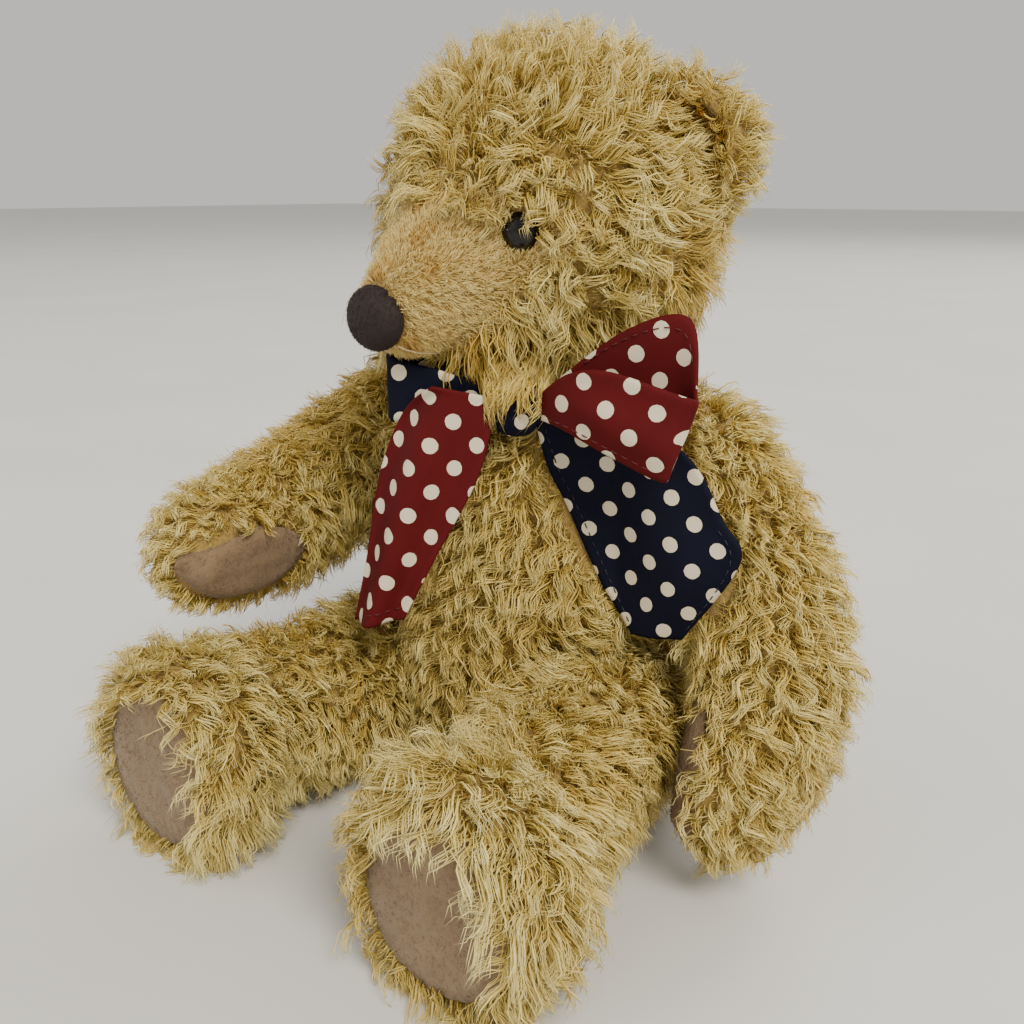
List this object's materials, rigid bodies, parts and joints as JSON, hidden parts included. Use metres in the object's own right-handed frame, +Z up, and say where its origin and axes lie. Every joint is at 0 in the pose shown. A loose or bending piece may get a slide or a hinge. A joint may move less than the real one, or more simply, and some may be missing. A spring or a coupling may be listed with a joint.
{
  "type": "jointed teddy bear",
  "caption": "Sitting mohair teddy bear with disc-jointed head, arms and legs, felt pads and a spotted ribbon bow at the neck.",
  "frame": {"origin": "middle of the flat seat under the body, on the surface it sits on", "axes": "+Z up, the bear looks along -Y, its own left side is +X"},
  "size_m": [0.1804, 0.1473, 0.2108],
  "materials": {
    "mohair": "matte",
    "stuffing": "matte",
    "felt": "matte",
    "nose_floss": "satin",
    "eye": "gloss",
    "red_ribbon": "matte",
    "navy_ribbon": "matte",
    "hardboard": "matte",
    "steel": "satin"
  },
  "bodies": {
    "body": {"body_skin": "mohair", "body_stuffing": "stuffing", "neck_body_disc": "hardboard", "neck_body_washer": "steel", "neck_cotter_pin": "steel", "left_shoulder_body_disc": "hardboard", "left_shoulder_body_washer": "steel", "left_shoulder_cotter_pin": "steel", "right_shoulder_body_disc": "hardboard", "right_shoulder_body_washer": "steel", "right_shoulder_cotter_pin": "steel", "left_hip_body_disc": "hardboard", "left_hip_body_washer": "steel", "left_hip_cotter_pin": "steel", "right_hip_body_disc": "hardboard", "right_hip_body_washer": "steel", "right_hip_cotter_pin": "steel", "bow_knot": "navy_ribbon", "bow_neckband": "navy_ribbon", "bow_left_loop": "red_ribbon", "bow_right_loop": "navy_ribbon", "bow_left_tail": "navy_ribbon", "bow_right_tail": "red_ribbon"},
    "head": {"head_skin": "mohair", "head_stuffing": "stuffing", "left_ear": "mohair", "right_ear": "mohair", "left_eye": "eye", "right_eye": "eye", "nose": "nose_floss", "neck_outer_disc": "hardboard", "neck_outer_washer": "steel"},
    "left_arm": {"left_arm_skin": "mohair", "left_arm_stuffing": "stuffing", "left_paw_pad": "felt", "left_shoulder_outer_disc": "hardboard", "left_shoulder_outer_washer": "steel"},
    "right_arm": {"right_arm_skin": "mohair", "right_arm_stuffing": "stuffing", "right_paw_pad": "felt", "right_shoulder_outer_disc": "hardboard", "right_shoulder_outer_washer": "steel"},
    "left_leg": {"left_leg_skin": "mohair", "left_leg_stuffing": "stuffing", "left_foot_pad": "felt", "left_hip_outer_disc": "hardboard", "left_hip_outer_washer": "steel"},
    "right_leg": {"right_leg_skin": "mohair", "right_leg_stuffing": "stuffing", "right_foot_pad": "felt", "right_hip_outer_disc": "hardboard", "right_hip_outer_washer": "steel"}
  },
  "joints": [
    {"name": "neck_swivel", "type": "hinge", "parent": "body", "child": "head", "pos_m": [0, 0, 0.128], "axis": [0.1908, 0, 0.9816], "range_deg": [-180, 180]},
    {"name": "left_shoulder", "type": "hinge", "parent": "body", "child": "left_arm", "pos_m": [0.036, 0.005, 0.1], "axis": [-1, 0, 0], "range_deg": [-180, 180], "deforming": ["bow_left_loop", "bow_left_tail"]},
    {"name": "right_shoulder", "type": "hinge", "parent": "body", "child": "right_arm", "pos_m": [-0.036, 0.005, 0.1], "axis": [-1, 0, 0], "range_deg": [-12, 180]},
    {"name": "left_hip", "type": "hinge", "parent": "body", "child": "left_leg", "pos_m": [0.022, -0.004, 0.029], "axis": [-1, 0, 0], "range_deg": [-100, 20]},
    {"name": "right_hip", "type": "hinge", "parent": "body", "child": "right_leg", "pos_m": [-0.022, -0.004, 0.029], "axis": [-1, 0, 0], "range_deg": [-100, 10]}
  ]
}
